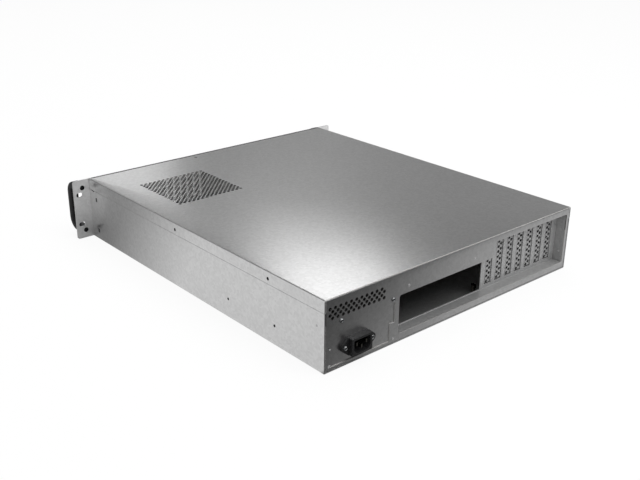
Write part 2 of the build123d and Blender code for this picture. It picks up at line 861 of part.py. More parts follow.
with BuildPart() as control_board:
    with BuildSketch(facing_rear(control_back + board_thickness)):
        with beside_controls([(0, 0)]):
            Rectangle(control_width, control_height)
    extrude(amount=board_thickness)
    with BuildSketch(facing_rear(control_back)):
        with beside_controls(switch_offsets):
            Rectangle(switch_size, switch_size)
    extrude(amount=switch_height)
control_board.part.label = "control_board"
export_step(control_board.part, "parts/control_board.step")

# Buttons: a cap, a collar that keeps it behind the panel, and a stem to the switch
stem_end_y = control_back - switch_height - button_travel - hole_gap / 2
for name, (width, height), place in button_kinds:
    with BuildPart() as button:
        with BuildSketch(facing_rear(panel_back + button_collar_length)):
            with beside_controls([place]):
                Rectangle(width, height)
        extrude(amount=button_collar_length + panel_thickness + button_proud)
        chamfer(button.faces().sort_by(Axis.Y)[0].edges(), length=bend_radius / 2)
        with BuildSketch(facing_rear(panel_back + button_collar_length)):
            with beside_controls([place]):
                Rectangle(width + 2 * button_collar, height + 2 * button_collar)
        extrude(amount=button_collar_length)
        with BuildSketch(facing_rear(stem_end_y)):
            with beside_controls([place]):
                Rectangle(width / 2, height / 2)
        extrude(amount=stem_end_y - panel_back)
    button.part.label = name
    export_step(button.part, f"parts/{name}.step")

with BuildPart() as lamp_lenses:
    with BuildSketch(facing_rear(control_back)):
        with beside_controls(lens_offsets):
            Rectangle(lens_width, lens_height)
    extrude(amount=control_depth + panel_thickness + lens_proud)
lamp_lenses.part.label = "lamp_lenses"
export_step(lamp_lenses.part, "parts/lamp_lenses.step")

with BuildPart() as usb_sockets:
    with BuildSketch(facing_rear(panel_front + usb_length)):
        with beside_controls(usb_offsets):
            Rectangle(usb_width, usb_height)
    extrude(amount=usb_length)
    with BuildSketch(facing_rear(panel_front + usb_length - usb_wall)):
        with beside_controls(usb_offsets):
            Rectangle(usb_width - 2 * usb_wall, usb_height - 2 * usb_wall)
            with Locations((0, usb_wall)):
                Rectangle(usb_width - 4 * usb_wall, usb_tongue, mode=Mode.SUBTRACT)
    extrude(amount=usb_length - usb_wall, mode=Mode.SUBTRACT)
usb_sockets.part.label = "usb_sockets"
export_step(usb_sockets.part, "parts/usb_sockets.step")


# Small screws: one pan-head size holds the slot covers, the power inlet and its plate.
with BuildPart() as small_screw:
    with BuildSketch(Plane.XY):
        small_round(screw_head_radius)
    extrude(amount=screw_head_height, taper=screw_head_taper)
    with BuildSketch(Plane.XY):
        small_round(screw_radius)
    extrude(amount=-screw_length)

to_rear = [(x, rear_y, plate_screw_z) for x in plate_screws_x]
to_rear += [(inlet_x + side * inlet_screw_spacing / 2, flange_y, inlet_z) for side in (-1, 1)]
with BuildPart() as small_screws:
    for place in to_rear:
        with Locations(Plane(place, x_dir=(1, 0, 0), z_dir=(0, 1, 0))):
            add(small_screw.part)
    with Locations(*[(x, cover_screw_y, shelf_top + cover_sheet) for x in slot_centres]):
        add(small_screw.part)
small_screws.part.label = "small_screws"
export_step(small_screws.part, "parts/small_screws.step")
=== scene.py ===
import math
import bmesh
import bpy
import numpy as np
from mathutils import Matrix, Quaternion, Vector
from mathutils.geometry import delaunay_2d_cdt


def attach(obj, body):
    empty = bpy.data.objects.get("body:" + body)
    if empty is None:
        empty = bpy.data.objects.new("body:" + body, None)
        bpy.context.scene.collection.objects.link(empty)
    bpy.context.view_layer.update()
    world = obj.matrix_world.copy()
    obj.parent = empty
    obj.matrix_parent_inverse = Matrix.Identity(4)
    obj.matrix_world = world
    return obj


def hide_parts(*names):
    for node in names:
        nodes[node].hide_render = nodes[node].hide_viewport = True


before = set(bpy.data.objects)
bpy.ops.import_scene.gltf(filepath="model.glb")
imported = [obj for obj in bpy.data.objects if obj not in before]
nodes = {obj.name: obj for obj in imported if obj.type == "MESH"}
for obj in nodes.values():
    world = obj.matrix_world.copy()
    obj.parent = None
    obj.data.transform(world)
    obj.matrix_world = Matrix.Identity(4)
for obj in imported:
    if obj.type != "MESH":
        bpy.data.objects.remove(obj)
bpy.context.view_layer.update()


# Base tray: floor and both side walls, cut and folded from one sheet of galvanised steel.
# The zinc is dipped on hot and rolled smooth, so it has a satin skin with a faint, fine
# spangle of crystals, and it mirrors its surroundings softly.

def linear(code):
    """Linear colour of an sRGB hex code: c / 12.92 up to 0.04045, ((c + 0.055) / 1.055) ** 2.4 above."""
    srgb = np.array([int(code[i : i + 2], 16) for i in (1, 3, 5)]) / 255
    curve = np.where(srgb <= 0.04045, srgb / 12.92, ((srgb + 0.055) / 1.055) ** 2.4)
    return (*curve.tolist(), 1.0)


def add_node(tree, kind, settings=None, sockets=None):
    """Adds a shader node, sets its own properties, and gives each named socket a value or a link."""
    made = tree.nodes.new("ShaderNode" + kind)
    for name, value in (settings or {}).items():
        setattr(made, name, value)
    for name, value in (sockets or {}).items():
        if isinstance(value, bpy.types.NodeSocket):
            tree.links.new(value, made.inputs[name])
        else:
            made.inputs[name].default_value = value
    return made


def start_material(name):
    """New material with its node tree and its shader."""
    made = bpy.data.materials.new(name)
    made.use_nodes = True
    return made, made.node_tree, made.node_tree.nodes["Principled BSDF"]


galvanised, tree, zinc = start_material("galvanised_steel")
zinc.inputs["Metallic"].default_value = 1.0
object_place = add_node(tree, "TexCoord").outputs["Object"]
# turned off all three axes, so that no face cuts the crystals square
turned = add_node(tree, "Mapping", None, {"Vector": object_place, "Rotation": (0.5, 0.35, 0.8)})
place = turned.outputs[0]
# crystals 3 mm across differ slightly in tone, and the gloss varies in clouds 90 mm wide
crystal_size, cloud_size = 0.003, 0.09
crystals = add_node(tree, "TexVoronoi", {"feature": "F1"}, {"Vector": place, "Scale": 1 / crystal_size})
clouds = add_node(tree, "TexNoise", None, {"Vector": place, "Scale": 1 / cloud_size, "Detail": 3.0})
crystal_tone = add_node(tree, "SeparateColor", None, {"Color": crystals.outputs["Color"]}).outputs[0]
zinc_colour = add_node(
    tree, "Mix", {"data_type": "RGBA"}, {0: crystal_tone, 6: linear("#bdbdbd"), 7: linear("#c8c8c8")}
)
tree.links.new(zinc_colour.outputs[2], zinc.inputs["Base Color"])
zinc_gloss = add_node(
    tree, "MapRange", None,
    {"Value": clouds.outputs[0], "From Min": 0.2, "From Max": 0.8, "To Min": 0.276, "To Max": 0.296},
)
tree.links.new(zinc_gloss.outputs[0], zinc.inputs["Roughness"])


def finish_node(name, material):
    """Gives a CAD node one material in all its slots."""
    slots = nodes[name].material_slots
    for slot in slots:
        slot.material = material
    if not slots:
        nodes[name].data.materials.append(material)


# the tray's inside, away from hands and rolls, has a duller skin that scatters light: it starts
# 0.8 mm within the walls' outer faces and above the underside
tray_steel = galvanised.copy()
tray_steel.name = "galvanised_tray_steel"
tree = tray_steel.node_tree
inner_half, inner_low, inner_metallic = 0.2158, 0.0008, 0.76
spot = add_node(tree, "SeparateXYZ", None, {0: add_node(tree, "TexCoord").outputs["Object"]})
from_middle = add_node(tree, "Math", {"operation": "ABSOLUTE"}, {0: spot.outputs["X"]})
within = add_node(tree, "Math", {"operation": "LESS_THAN"}, {0: from_middle.outputs[0], 1: inner_half})
above = add_node(tree, "Math", {"operation": "GREATER_THAN"}, {0: spot.outputs["Z"], 1: inner_low})
inside = add_node(tree, "Math", {"operation": "MINIMUM"}, {0: within.outputs[0], 1: above.outputs[0]})
metal = add_node(
    tree, "MapRange", None, {"Value": inside.outputs[0], "To Min": 1.0, "To Max": inner_metallic}
)
tree.links.new(metal.outputs[0], tree.nodes["Principled BSDF"].inputs["Metallic"])
finish_node("base_tray", tray_steel)


# Slot bracket: a channel folded from the same sheet, set back behind the rear panel, with the
# board opening and seven card slots in its face. It is spot welded to the rear panel, and its
# sheet has weathered to a duller, whiter skin that scatters more light than it mirrors.

def copy_with_tones(material, name, dark, pale):
    """Copy of a material whose pattern, its first Mix node, runs between two other tones."""
    made = material.copy()
    made.name = name
    pattern = next(node for node in made.node_tree.nodes if node.type == "MIX")
    pattern.inputs[6].default_value, pattern.inputs[7].default_value = linear(dark), linear(pale)
    return made


dull_galvanised = copy_with_tones(galvanised, "dull_galvanised_steel", "#aaaaaa", "#b5b5b5")
tree = dull_galvanised.node_tree
tree.nodes["Principled BSDF"].inputs["Metallic"].default_value = 0.4
dull_gloss = tree.nodes[zinc_gloss.name]
dull_gloss.inputs["To Min"].default_value, dull_gloss.inputs["To Max"].default_value = 0.34, 0.42
finish_node("slot_bracket", dull_galvanised)


# Rear panel: galvanised sheet 1.2 mm thick with its edges turned forwards, spot welded to the
# tray. A punch press cut its L-shaped window over the board opening and the card slots, the
# stepped opening for the inlet and four staggered rows of vent holes.

def folded_line(corners, radius, arc_steps=5):
    """Straight runs joined by arcs. Each corner is cut back by radius * tan(turn / 2), and an arc
    of that radius takes its place. Gives the distance along the line, its points and headings,
    and the distance at which each run would start if its corner were sharp."""
    corners = np.asarray(corners, float)
    runs = np.diff(corners, axis=0)
    angles = np.unwrap(np.arctan2(runs[:, 1], runs[:, 0]))
    points, headings, marks = [corners[:1]], [angles[:1]], []
    for index, turn in enumerate(np.diff(angles)):
        along = np.array([np.cos(angles[index]), np.sin(angles[index])])
        back = radius * np.tan(abs(turn) / 2)
        arc = angles[index] + turn * np.linspace(0, 1, arc_steps + 1)
        turned = np.sign(turn) * radius * np.column_stack([np.sin(arc), -np.cos(arc)])
        points.append(corners[index + 1] - back * along + turned - turned[0])
        headings.append(arc)
        marks.append(back)
    points = np.concatenate([*points, corners[-1:]])
    headings = np.concatenate([*headings, angles[-1:]])
    steps = np.linalg.norm(np.diff(points, axis=0), axis=1)
    distance = np.concatenate([[0], np.cumsum(steps)])
    arc_ends = distance[arc_steps + 1 : -1 : arc_steps + 1]
    starts = np.concatenate([[0], arc_ends - np.array(marks)])
    return distance, points, headings, starts


def rounded(corners, radius, arc_steps=4):
    """Closed ring with rounded corners: a folded line that starts and ends halfway along an edge."""
    corners = np.asarray(corners, float)
    middle = (corners[:1] + corners[-1:]) / 2
    return folded_line(np.concatenate([middle, corners, middle]), radius, arc_steps)[1][:-1]


def round_holes(centres, radius, sides):
    """Rings of a regular polygon: centre + radius * (cos t, sin t), t in equal steps."""
    t = np.arange(sides) * 2 * np.pi / sides
    ring = radius * np.column_stack([np.cos(t), np.sin(t)])
    return list(np.asarray(centres, float)[:, None, :] + ring)


def pierced(outline, holes, lines=()):
    """Flat pattern of a sheet: triangles that fill the outline, leave the holes open and have
    edges along the given lines. Each ring is turned anticlockwise by the sign of its area, and
    those triangles are kept that lie in the outline's ring alone."""
    rings = [np.asarray(ring, float) for ring in (outline, *holes)]
    spans = [(ring[:, 0], ring[:, 1], np.roll(ring, -1, 0)) for ring in rings]
    areas = [np.sum(u * after[:, 1] - v * after[:, 0]) for u, v, after in spans]
    rings = [ring if area > 0 else ring[::-1] for ring, area in zip(rings, areas)]
    ends = np.cumsum([0] + [len(ring) for ring in rings])
    faces = [list(range(first, last)) for first, last in zip(ends[:-1], ends[1:])]
    edges = [(int(ends[-1]) + 2 * i, int(ends[-1]) + 2 * i + 1) for i in range(len(lines))]
    points = np.concatenate([*rings, *[np.asarray(line, float) for line in lines]])
    fill_hull, weld_distance = 0, 1e-5
    found = delaunay_2d_cdt([Vector(p) for p in points], edges, faces, fill_hull, weld_distance)
    kept = [triangle for triangle, within in zip(found[2], found[5]) if list(within) == [0]]
    return np.array([tuple(p) for p in found[0]]), np.array(kept)


def piece_from(name, points, faces, material, body, slot, edge_material=None):
    """Makes a mesh of the points, in millimetres, turns its faces outwards, shades it smooth up
    to 32 degrees, and hangs it on a body of the frame. Faces with four corners get the edge
    material, where there is one: on a sheet's shell those are its cut edges."""
    mesh = bpy.data.meshes.new(name)
    mesh.from_pydata((np.asarray(points) / 1000).tolist(), [], faces)
    mesh.materials.append(material)
    if edge_material:
        mesh.materials.append(edge_material)
        mesh.polygons.foreach_set("material_index", [int(len(face) == 4) for face in faces])
    shell = bmesh.new()
    shell.from_mesh(mesh)
    bmesh.ops.remove_doubles(shell, verts=shell.verts, dist=1e-6)
    bmesh.ops.recalc_face_normals(shell, faces=shell.faces)
    shell.to_mesh(mesh)
    shell.free()
    mesh.shade_smooth()
    mesh.set_sharp_from_angle(angle=math.radians(32))
    made = bpy.data.objects.new(name, mesh)
    bpy.context.scene.collection.objects.link(made)
    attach(made, body)
    return made


def sheet_shell(pattern, triangles, near, far):
    """Closed shell of a sheet: the flat pattern's points are placed on the near and the far face,
    and a quad joins the two faces along each edge that only one triangle has."""
    count = len(pattern)
    sides = triangles[:, [0, 1, 1, 2, 2, 0]].reshape(-1, 2)
    keys = sides.min(1) * count + sides.max(1)
    _, first, uses = np.unique(keys, return_index=True, return_counts=True)
    rim = sides[first[uses == 1]]
    walls = np.column_stack([rim[:, 1], rim[:, 0], rim[:, 0] + count, rim[:, 1] + count])
    faces = [*triangles.tolist(), *(triangles[:, ::-1] + count).tolist(), *walls.tolist()]
    return np.concatenate([near, far]), faces


def fold(line, thickness, outline, holes, order):
    """Folds a flat pattern whose first coordinate u runs along a folded line and whose second
    runs along the folds. A point goes to line(u) + depth * left normal(u), with depth 0 on one
    face and the thickness on the other. order names the axes: line's two (a, b) and the folds' (v)."""
    distance, points, headings, _ = line
    outline = np.asarray(outline, float)
    # lines across the pattern keep its triangles narrow in the bends and 0.4 mm to either side
    overhang, margin = 1, 0.4
    low, high = outline[:, 1].min() - overhang, outline[:, 1].max() + overhang
    inner = distance[1:-1]
    beside = np.concatenate([inner, inner[:1] - margin, inner[-1:] + margin])
    pattern, triangles = pierced(outline, holes, [[(u, low), (u, high)] for u in beside])
    u, v = pattern.T
    faces = []
    for depth in (0, thickness):
        turn = np.interp(u, distance, headings)
        axes = {
            "a": np.interp(u, distance, points[:, 0]) - depth * np.sin(turn),
            "b": np.interp(u, distance, points[:, 1]) + depth * np.cos(turn),
            "v": v,
        }
        faces.append(np.column_stack([axes[letter] for letter in order]))
    return sheet_shell(pattern, triangles, *faces)


def flat_sheet(outline, holes, axis, near, far):
    """Flat sheet between two planes square to an axis, 0 to 2 for X to Z: the pattern's points
    get the near and the far place as that coordinate, and a shell joins the two."""
    flat, triangles = pierced(outline, holes)
    planes = [np.insert(flat, axis, place, axis=1) for place in (near, far)]
    return sheet_shell(flat, triangles, *planes)


# a punched or sheared edge shows bare steel, matt from tearing, with fine streaks 0.5 mm apart; the
# edges of the rear panel's vent holes, 57 to 86 mm up, and the lid's cut edges, except the last 20 mm
# at its rear, are painted dark, a painted shade that makes the holes look dark inside
cut_edge, tree, bare = start_material("sheared_steel_edge")
bare.inputs["Metallic"].default_value = 0.15
bare.inputs["Roughness"].default_value = 0.7
place = add_node(tree, "TexCoord").outputs["Object"]
streak_gap = 0.0005
streaks = add_node(tree, "TexNoise", None, {"Vector": place, "Scale": 1 / streak_gap, "Detail": 2.0})
bare_colour = add_node(
    tree, "Mix", {"data_type": "RGBA"}, {0: streaks.outputs[0], 6: linear("#b9b8b5"), 7: linear("#d6d5d2")}
)
spot = add_node(tree, "SeparateXYZ", None, {0: place})
vents_height, vents_reach, lid_end_y = 0.0715, 0.0145, 0.25
near_vents = add_node(
    tree, "Math", {"operation": "COMPARE"}, {0: spot.outputs["Z"], 1: vents_height, 2: vents_reach}
)
# mask of the painted shade on the hole edges
on_lid = add_node(tree, "Math", {"operation": "LESS_THAN"}, {0: spot.outputs["Y"], 1: lid_end_y})
painted_hole_shade = add_node(tree, "Math", {"operation": "MAXIMUM"}, {0: near_vents.outputs[0], 1: on_lid.outputs[0]})
edge_colour = add_node(
    tree, "Mix", {"data_type": "RGBA"}, {0: painted_hole_shade.outputs[0], 6: bare_colour.outputs[2], 7: linear("#464543")}
)
tree.links.new(edge_colour.outputs[2], bare.inputs["Base Color"])
# the rear panel's cut edges get a darker copy of the bare steel, a painted shade that dims them where the
# lamps light them
shaded_panel_edge = copy_with_tones(cut_edge, "sheared_panel_edge_painted_shade", "#a3a2a0", "#bab9b7")

rear_y, sheet = 270.5, 1.2
panel_half, panel_low, panel_high, panel_flange = 214.1, 1.2, 87.0, 12.0
panel_line = folded_line(
    [
        (rear_y - panel_flange, panel_low), (rear_y, panel_low),
        (rear_y, panel_high), (rear_y - panel_flange, panel_high),
    ],
    radius=1.5,
)
face_start, top_start = panel_line[3][1] - panel_low, panel_line[3][2]
panel_end = panel_line[0][-1]
# the window is low over the board opening and high over the card slots
window_low, board_high, slots_high = 10, 58.7, 79
board_end, slots_start, slots_end = 104.6, -62, -209.8
window = rounded(
    [
        (window_low, board_end), (board_high, board_end), (board_high, slots_start),
        (slots_high, slots_start), (slots_high, slots_end), (window_low, slots_end),
    ],
    radius=3,
)
# the inlet's opening is wider above its step
opening_low, opening_step, opening_high = 5.2, 27.7, 52.3
opening_outer, narrow_inner, wide_inner = 210, 118.5, 111.2
inlet_opening = rounded(
    [
        (opening_low, opening_outer), (opening_low, narrow_inner), (opening_step, narrow_inner),
        (opening_step, wide_inner), (opening_high, wide_inner), (opening_high, opening_outer),
    ],
    radius=0.8,
)
vent_rows, vent_columns, vent_row, vent_pitch = 4, 11, 3.8, 7.57
vent_high, vent_outer = 75.1, 208.7
row_index, column_index = np.divmod(np.arange(vent_rows * vent_columns), vent_columns)
vent_centres = np.column_stack(
    [vent_high - vent_row * row_index, vent_outer - vent_pitch * (column_index + row_index % 2 / 2)]
)
panel_holes = [window, inlet_opening, *round_holes(vent_centres, radius=2.2, sides=16)]
panel_holes = [hole + (face_start, 0) for hole in panel_holes]
# over the card slots the upper flange is cut back to 1.8 mm
cut_back, cut_start = top_start + 1.8, -59.8
panel_outline = [
    (0, -panel_half), (0, panel_half), (panel_end, panel_half), (panel_end, cut_start),
    (cut_back, cut_start), (cut_back, slots_end), (panel_end, slots_end), (panel_end, -panel_half),
]
rear_panel = piece_from(
    "rear_panel_sheet",
    *fold(panel_line, sheet, panel_outline, panel_holes, order="vab"),
    galvanised, "case", "galvanised", edge_material=shaded_panel_edge,
)
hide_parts("rear_panel")

# the panel's two side edges are turned forwards too
edge_low, edge_high = 3, 85
turned_edge = [
    (rear_y - sheet, edge_low), (rear_y - sheet, edge_high),
    (rear_y - panel_flange, edge_high), (rear_y - panel_flange, edge_low),
]
for side, side_name in ((1, "inlet_side"), (-1, "card_side")):
    piece_from(
        f"rear_panel_edge_{side_name}",
        *flat_sheet(turned_edge, [], 0, side * panel_half, side * (panel_half - sheet)),
        galvanised, "case", "galvanised",
    )


# Slot covers: seven perforated strips of galvanised sheet 0.8 mm thick behind the card slots.
# Each has a tab folded over the bracket's shelf, where one screw holds it.

covers_steel = dull_galvanised.copy()
covers_steel.name = "dull_galvanised_cover_steel"
tree = covers_steel.node_tree
skin = tree.nodes["Principled BSDF"]
# along its slot's rim a cover lies in the shadow of the gap to the bracket, a line about 1 mm wide;
# its two upright lines are counted from a middle 0.85 mm to the card side of the slot's, in metres
shade_middle, half_pitch, side_shade, low_shade = -0.19397, 0.01016, 0.00495, 0.01625
spot = add_node(tree, "SeparateXYZ", None, {0: add_node(tree, "TexCoord").outputs["Object"]})
from_first = add_node(tree, "Math", {"operation": "ADD"}, {0: spot.outputs["X"], 1: -shade_middle})
from_middle = add_node(
    tree, "Math", {"operation": "PINGPONG"}, {0: from_first.outputs[0], 1: half_pitch}
)
beside_rim = add_node(
    tree, "MapRange", None,
    {"Value": from_middle.outputs[0], "From Min": side_shade - 0.0001, "From Max": side_shade + 0.0001},
)
below_rim = add_node(
    tree, "MapRange", None,
    {"Value": spot.outputs["Z"], "From Min": low_shade + 0.00025, "From Max": low_shade - 0.00025},
)
in_gap = add_node(
    tree, "Math", {"operation": "MAXIMUM"}, {0: beside_rim.outputs[0], 1: below_rim.outputs[0]}
)
plain = skin.inputs["Base Color"].links[0].from_socket
cover_colour = add_node(
    tree, "Mix", {"data_type": "RGBA"}, {0: in_gap.outputs[0], 6: plain, 7: linear("#4a4a4a")}
)
tree.links.new(cover_colour.outputs[2], skin.inputs["Base Color"])

cover_back, cover_low, cover_sheet, cover_half = 254.3, 12.5, 0.8, 9.2
shelf_top, tab_end = 80.4, 268.1
cover_line = folded_line(
    [(cover_back, cover_low), (cover_back, shelf_top), (tab_end, shelf_top)], radius=0.8
)
cover_end = cover_line[0][-1]
# two columns of holes 4.2 mm apart, the first one 1.3 mm to the inlet side of the slot's middle
hole_rows, hole_low, hole_pitch, first_column, column_gap = np.arange(17), 5.5, 3.5, 1.3, 4.2
slot_centres = -193.12 + 20.32 * np.arange(7)
for number, cover_x in enumerate(slot_centres[::-1], 1):
    cover_holes = np.column_stack(
        [hole_low + hole_pitch * hole_rows, cover_x + first_column - column_gap * (hole_rows % 2)]
    )
    cover_outline = [
        (0, cover_x - cover_half), (0, cover_x + cover_half),
        (cover_end, cover_x + cover_half), (cover_end, cover_x - cover_half),
    ]
    cover = piece_from(
        f"slot_cover_sheet_{number}",
        *fold(cover_line, cover_sheet, cover_outline, round_holes(cover_holes, 2.15, 16), order="vab"),
        covers_steel, "case", "galvanised",
    )
    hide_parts(f"slot_cover_{number}")


# Inlet plate: a flat galvanised plate behind the stepped opening, which carries the inlet. Two
# screws hold it to the rear panel above the opening.

finish_node("inlet_plate", galvanised)


# Power inlet: three-pole appliance inlet, injection moulded in black glass-filled nylon with a
# slightly matt, spark-eroded surface. Its flange has two screw ears, its blades are nickel plated.

nylon, tree, shell = start_material("black_moulded_nylon")
shell.inputs["IOR"].default_value = 1.53
place = add_node(tree, "TexCoord").outputs["Object"]
# spark-eroded grain is 0.15 mm, drawn at 0.4 mm so that it shows
drawn_grain = 0.0004
erosion = add_node(tree, "TexNoise", None, {"Vector": place, "Scale": 1 / drawn_grain, "Detail": 3.0})
nylon_colour = add_node(
    tree, "Mix", {"data_type": "RGBA"}, {0: erosion.outputs[0], 6: linear("#141415"), 7: linear("#232325")}
)
tree.links.new(nylon_colour.outputs[2], shell.inputs["Base Color"])
nylon_gloss = add_node(
    tree, "MapRange", None, {"Value": erosion.outputs[0], "To Min": 0.38, "To Max": 0.55}
)
tree.links.new(nylon_gloss.outputs[0], shell.inputs["Roughness"])
nylon_bump = add_node(
    tree, "Bump", None, {"Strength": 0.3, "Distance": 0.00003, "Height": erosion.outputs[0]}
)
tree.links.new(nylon_bump.outputs[0], shell.inputs["Normal"])

# electroplated nickel is bright and yellowish, with duller patches 1.5 mm wide where it is rubbed
nickel, tree, plating = start_material("nickel_plated_brass")
plating.inputs["Metallic"].default_value = 1.0
place = add_node(tree, "TexCoord").outputs["Object"]
rub_size = 0.0015
rubbing = add_node(tree, "TexNoise", None, {"Vector": place, "Scale": 1 / rub_size, "Detail": 3.0})
nickel_colour = add_node(
    tree, "Mix", {"data_type": "RGBA"}, {0: rubbing.outputs[0], 6: linear("#c6c3bc"), 7: linear("#d9d6cf")}
)
tree.links.new(nickel_colour.outputs[2], plating.inputs["Base Color"])
nickel_gloss = add_node(
    tree, "MapRange", None, {"Value": rubbing.outputs[0], "To Min": 0.16, "To Max": 0.28}
)
tree.links.new(nickel_gloss.outputs[0], plating.inputs["Roughness"])

inlet_x, inlet_z = 168.4, 23.0
plate_y, flange_y, mouth_y, floor_y, body_y = 269.3, 273.3, 278.8, 261.3, 251.3
inlet_middle = np.array([inlet_x, inlet_z])


def box_ring(width, height, radius, cut=0.0):
    """Rectangle round the inlet's middle with rounded corners, the two lower ones cut off at 45
    degrees where a cut is given."""
    w, h = width / 2, height / 2
    ring = [(w, h), (-w, h), (-w, cut - h), (cut - w, -h), (w - cut, -h), (w, cut - h)]
    if not cut:
        ring = [(w, h), (-w, h), (-w, -h), (w, -h)]
    return rounded(ring, radius) + inlet_middle


# each screw ear is an arc round a point 19.4 mm from the middle
ear_x, ear_radius, waist_x, waist_z, screw_reach = 19.4, 5.6, 15.2, 10.7, 20
tip = np.linspace(-60, 60, 11) * np.pi / 180
right_tip = np.column_stack([ear_x + ear_radius * np.cos(tip), ear_radius * np.sin(tip)])
flange_half = np.concatenate([[(waist_x, -waist_z)], right_tip, [(waist_x, waist_z)]])
flange_ring = np.concatenate([flange_half, -flange_half]) + inlet_middle
collar_ring = box_ring(width=30, height=21.2, radius=1.0)
body_ring = box_ring(width=27.4, height=20, radius=1.0)
mouth_ring = box_ring(width=24.4, height=16, radius=0.8, cut=4.2)
floor_ring = box_ring(width=23.8, height=15.4, radius=0.8, cut=4.2)
screw_rings = round_holes(inlet_middle + [(screw_reach, 0), (-screw_reach, 0)], radius=1.65, sides=16)


def level_face(outline, holes, y):
    """Flat face at depth y, filled between its outline and its holes."""
    flat, triangles = pierced(outline, holes)
    return np.insert(flat, 1, y, axis=1), triangles


def ring_quads(rings, count):
    """Quads between rings of as many points, which follow each other: a point, the next one in its
    ring, and the two beside them in the next ring."""
    ring, index = np.divmod(np.arange((rings - 1) * count), count)
    after = (index + 1) % count
    near, far = ring * count, (ring + 1) * count
    return np.column_stack([near + index, near + after, far + after, far + index])


def ring_wall(first, first_y, last, last_y):
    """Wall that carries one ring at depth first_y to another ring at depth last_y."""
    points = np.concatenate([np.insert(first, 1, first_y, axis=1), np.insert(last, 1, last_y, axis=1)])
    return points, ring_quads(2, len(first))


def joined(parts):
    """All parts' points in one array, and their faces counted on to match."""
    offsets = np.cumsum([0] + [len(points) for points, _ in parts])
    faces = [
        [int(corner) for corner in np.add(face, offset)]
        for (_, made), offset in zip(parts, offsets)
        for face in made
    ]
    return np.concatenate([points for points, _ in parts]), faces


inlet_parts = [
    level_face(flange_ring, [collar_ring, *screw_rings], flange_y),
    level_face(flange_ring, [body_ring, *screw_rings], plate_y),
    ring_wall(flange_ring, plate_y, flange_ring, flange_y),
    ring_wall(collar_ring, flange_y, collar_ring, mouth_y),
    level_face(collar_ring, [mouth_ring], mouth_y),
    ring_wall(mouth_ring, mouth_y, floor_ring, floor_y),
    level_face(floor_ring, [], floor_y),
    ring_wall(body_ring, plate_y, body_ring, body_y),
    level_face(body_ring, [], body_y),
    *[ring_wall(ring, plate_y, ring, flange_y) for ring in screw_rings],
]
inlet = piece_from("power_inlet_moulding", *joined(inlet_parts), nylon, "case", "black_plastic")
# the mould rounds every edge by 0.4 mm
soft_edge = inlet.modifiers.new("moulded_edges", "BEVEL")
soft_edge.width, soft_edge.segments, soft_edge.limit_method = 0.0004, 2, "ANGLE"
soft_edge.angle_limit = math.radians(40)
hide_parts("power_inlet")
# the blades get a darker, duller grey copy of the nickel plating, as the standoffs do
dark_grey_nickel = copy_with_tones(nickel, "dull_nickel_plated_brass", "#5c5a55", "#6f6d68")
finish_node("inlet_pins", dark_grey_nickel)


# Small screws: pan-head screws with a cross recess, of steel with bright zinc plating. Two hold
# the inlet's plate, two the inlet and one each slot cover.

# the bluish plating is scuffed in patches 0.8 mm wide
zinc_plated, tree, plating = start_material("bright_zinc_plated_steel")
plating.inputs["Metallic"].default_value = 1.0
place = add_node(tree, "TexCoord").outputs["Object"]
scuff_size = 0.0008
scuffs = add_node(tree, "TexNoise", None, {"Vector": place, "Scale": 1 / scuff_size, "Detail": 3.0})
plated_colour = add_node(
    tree, "Mix", {"data_type": "RGBA"}, {0: scuffs.outputs[0], 6: linear("#8d8f91"), 7: linear("#a8a9aa")}
)
tree.links.new(plated_colour.outputs[2], plating.inputs["Base Color"])
plated_gloss = add_node(
    tree, "MapRange", None, {"Value": scuffs.outputs[0], "To Min": 0.15, "To Max": 0.3}
)
tree.links.new(plated_gloss.outputs[0], plating.inputs["Roughness"])


def screw_heads(places, across, up, out, radius, height, recess):
    """Screw heads on a polar grid of radius r and angle t. The height is
    height * (1 - (r / radius) ** 4) ** 0.5, less the recess depth times a soft cross: full where
    the smaller of |x| and |y| is under 0.12 radius and nothing from 0.2 radius on, and fading
    outwards from full at r = 0.5 radius to nothing at 0.6 radius."""
    spokes, rings = 32, 11
    t = np.arange(spokes) * 2 * np.pi / spokes
    share = np.linspace(0.06, 1, rings)
    r = (radius * share)[:, None]
    x, y = r * np.cos(t), r * np.sin(t)
    cross = np.clip((0.2 * radius - np.minimum(abs(x), abs(y))) / (0.08 * radius), 0, 1)
    cross = cross * np.clip((0.6 * radius - r) / (0.1 * radius), 0, 1)
    z = height * np.sqrt(np.clip(1 - share[:, None] ** 4, 0, 1)) - recess * cross
    head = np.stack([x.ravel(), y.ravel(), z.ravel()], axis=1)
    head = np.concatenate([head, [(0, 0, height - recess)]])
    axes = np.array([across, up, out], float)
    points = (np.asarray(places, float)[:, None, :] + head @ axes).reshape(-1, 3)
    quads = ring_quads(rings, spokes)
    first = np.arange(spokes)
    middle = np.column_stack([np.full(spokes, rings * spokes), (first + 1) % spokes, first])
    under = (rings - 1) * spokes + first
    faces = []
    for offset in np.arange(len(places)) * len(head):
        faces += (quads + offset).tolist() + (middle + offset).tolist() + [(under + offset).tolist()]
    return points, faces


plate_screws_x, plate_screws_z = (192.1, 114.2), 56.8
to_rear = [
    *[(x, rear_y, plate_screws_z) for x in plate_screws_x],
    *[(inlet_x + side * screw_reach, flange_y, inlet_z) for side in (1, -1)],
]
cover_screws_y = 261.8
to_top = [(x, cover_screws_y, shelf_top + cover_sheet) for x in slot_centres]
